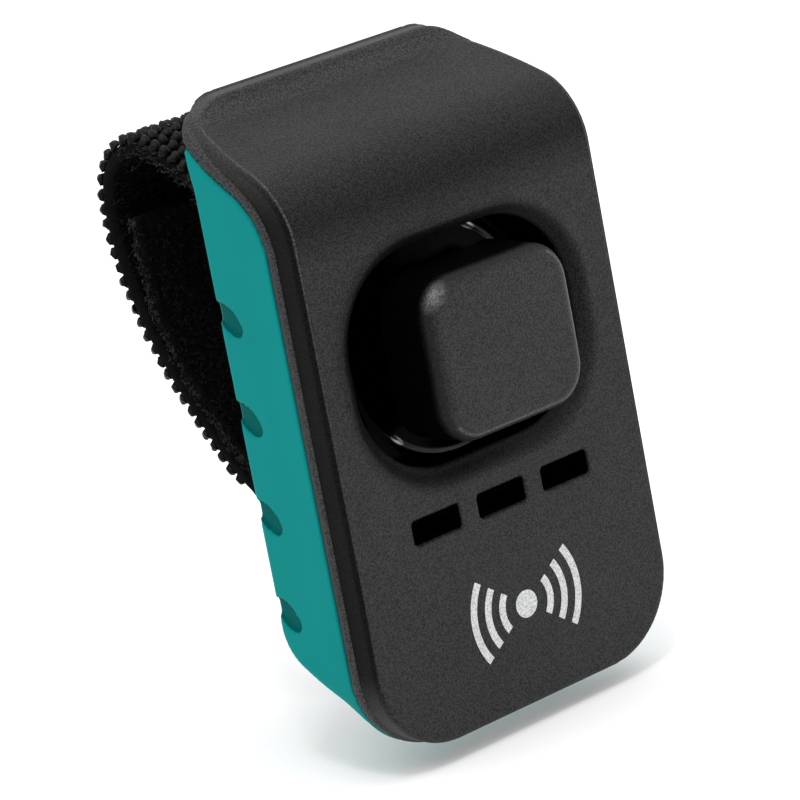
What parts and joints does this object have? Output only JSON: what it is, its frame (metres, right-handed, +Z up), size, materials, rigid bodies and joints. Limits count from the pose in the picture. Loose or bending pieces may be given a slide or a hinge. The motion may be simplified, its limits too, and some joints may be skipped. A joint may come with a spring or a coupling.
{
  "type": "clicker trainer",
  "caption": "Finger-worn training clicker: two-shell case with a tall square thumb button over a domed spring-steel click plate, and a hook-and-loop finger strap.",
  "frame": {"origin": "centre of the case's flat back, where the finger rests", "axes": "+X across the case, +Y from the button's face back towards the finger, +Z up the case to its thin end"},
  "size_m": [0.0298, 0.0326, 0.0496],
  "materials": {
    "soft_black": "fine matte texture",
    "button_black": "satin, fine texture",
    "teal": "satin",
    "inner_black": "plain moulded",
    "spring_steel": "polished",
    "screw_steel": "zinc plated",
    "strap_black": "hook-and-loop tape"
  },
  "bodies": {
    "case": {"front_cover": "soft_black", "back_shell": "teal", "case_screw_upper_left": "screw_steel", "case_screw_upper_right": "screw_steel", "case_screw_lower_left": "screw_steel", "case_screw_lower_right": "screw_steel", "plate_carrier": "inner_black", "carrier_screw_upper_left": "screw_steel", "carrier_screw_upper_right": "screw_steel", "carrier_screw_lower_left": "screw_steel", "carrier_screw_lower_right": "screw_steel", "click_plate": "spring_steel", "strap_pin_upper": "screw_steel", "strap_pin_lower": "screw_steel"},
    "button": {"button_cap": "button_black", "button_core": "inner_black", "button_washer": "screw_steel", "button_screw": "screw_steel"},
    "outer_tape": {"strap_outer_tape": "strap_black"},
    "inner_tape": {"strap_inner_tape": "strap_black"}
  },
  "joints": [
    {"name": "button_press", "type": "slide", "parent": "case", "child": "button", "axis": [0, 1, 0], "range_m": [0, 0.00135], "stiffness_N_per_m": 3000, "deforming": ["click_plate"]},
    {"name": "strap_open", "type": "hinge", "parent": "case", "child": "outer_tape", "pos_m": [0, -0.0012, 0.0124], "axis": [1, 0, 0], "range_deg": [0, 30]},
    {"name": "strap_tongue", "type": "hinge", "parent": "case", "child": "inner_tape", "pos_m": [0, -0.0012, -0.0095], "axis": [1, 0, 0], "range_deg": [0, 10]}
  ]
}
